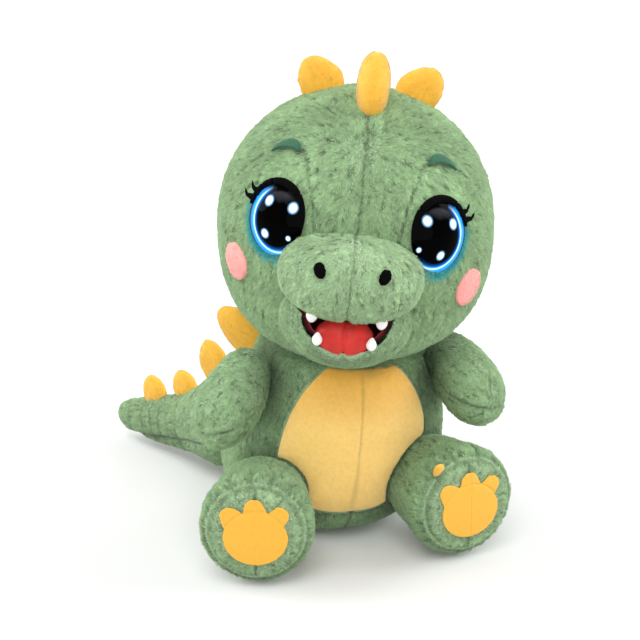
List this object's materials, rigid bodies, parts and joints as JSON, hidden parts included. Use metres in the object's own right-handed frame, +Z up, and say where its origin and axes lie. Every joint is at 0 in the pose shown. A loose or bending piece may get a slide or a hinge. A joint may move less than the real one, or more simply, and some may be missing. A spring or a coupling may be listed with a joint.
{
  "type": "stuffed dinosaur",
  "caption": "Seated plush dinosaur with a large round head, open mouth, golden belly, soft fins on head and tail, and sewn-on limbs that turn a little at their seams.",
  "frame": {"origin": "middle of the flat seat, on the surface the toy sits on", "axes": "+Z up, -Y is the way the body faces, +X is the toy's own left"},
  "size_m": [0.2149, 0.3059, 0.3108],
  "materials": {
    "green_plush": "short brushed sage green plush pile",
    "pale_green_plush": "short brushed pale sage plush pile",
    "gold_plush": "short golden plush pile",
    "yellow_plush": "orange-yellow plush pile",
    "yellow_felt": "orange-yellow felt with sewn lines",
    "pink_plush": "coral pink short plush",
    "dark_green_felt": "dark green felt",
    "black_felt": "black felt and thread",
    "maroon_satin": "dark maroon smooth cloth",
    "red_satin": "red satin",
    "white_felt": "white felt",
    "eye_plastic": "glossy moulded plastic with a blue rim",
    "washer_plastic": "moulded white plastic",
    "stuffing": "polyester fibre",
    "bag_cloth": "plain woven cotton",
    "seam_thread": "green sewing thread"
  },
  "bodies": {
    "torso": {"torso_skin": "green_plush", "torso_stuffing": "stuffing", "pellet_bag": "bag_cloth", "belly_panel": "gold_plush", "back_fin": "yellow_plush", "neck_seam": "seam_thread", "tail_seam": "seam_thread", "shoulder_seam_right": "seam_thread", "shoulder_seam_left": "seam_thread", "hip_seam_right": "seam_thread", "hip_seam_left": "seam_thread"},
    "head": {"head_skin": "green_plush", "head_stuffing": "stuffing", "muzzle": "pale_green_plush", "lower_jaw": "green_plush", "mouth_lining": "maroon_satin", "tongue": "red_satin", "tooth_upper_right": "white_felt", "tooth_upper_left": "white_felt", "tooth_lower_right": "white_felt", "tooth_lower_left": "white_felt", "eye_right": "eye_plastic", "eye_left": "eye_plastic", "eye_washer_right": "washer_plastic", "eye_washer_left": "washer_plastic", "eyelid_right": "black_felt", "eyelid_left": "black_felt", "brow_right": "dark_green_felt", "brow_left": "dark_green_felt", "cheek_right": "pink_plush", "cheek_left": "pink_plush", "nostril_right": "black_felt", "nostril_left": "black_felt", "crest_middle": "yellow_plush", "crest_right": "yellow_plush", "crest_left": "yellow_plush"},
    "arm_right": {"arm_skin_right": "green_plush", "arm_stuffing_right": "stuffing"},
    "arm_left": {"arm_skin_left": "green_plush", "arm_stuffing_left": "stuffing"},
    "leg_right": {"leg_skin_right": "green_plush", "leg_stuffing_right": "stuffing", "sole_right": "pale_green_plush", "paw_pad_right": "yellow_felt"},
    "leg_left": {"leg_skin_left": "green_plush", "leg_stuffing_left": "stuffing", "sole_left": "pale_green_plush", "paw_pad_left": "yellow_felt", "foot_tab_left": "yellow_felt"},
    "tail": {"tail_skin": "green_plush", "tail_stuffing": "stuffing", "tail_fin_1": "yellow_plush", "tail_fin_2": "yellow_plush", "tail_fin_3": "yellow_plush"}
  },
  "joints": [
    {"name": "neck_turn", "type": "hinge", "parent": "torso", "child": "head", "pos_m": [0.0128, -0.024, 0.1145], "axis": [0, 0, 1], "range_deg": [-35, 35]},
    {"name": "shoulder_right", "type": "hinge", "parent": "torso", "child": "arm_right", "pos_m": [-0.05915, -0.032, 0.1076], "axis": [-0.5, 0, -0.866], "range_deg": [0, 45]},
    {"name": "shoulder_left", "type": "hinge", "parent": "torso", "child": "arm_left", "pos_m": [0.0718, -0.032, 0.1076], "axis": [-0.5, 0, 0.866], "range_deg": [0, 45]},
    {"name": "hip_right", "type": "hinge", "parent": "torso", "child": "leg_right", "pos_m": [-0.05993, -0.07339, 0.03575], "axis": [0, 0, -1], "range_deg": [0, 25]},
    {"name": "hip_left", "type": "hinge", "parent": "torso", "child": "leg_left", "pos_m": [0.05483, -0.06411, 0.03575], "axis": [0, 0, 1], "range_deg": [0, 25]},
    {"name": "tail_swing", "type": "hinge", "parent": "torso", "child": "tail", "pos_m": [-0.05013, 0.07294, 0.0375], "axis": [0, 0, 1], "range_deg": [-25, 25]}
  ]
}
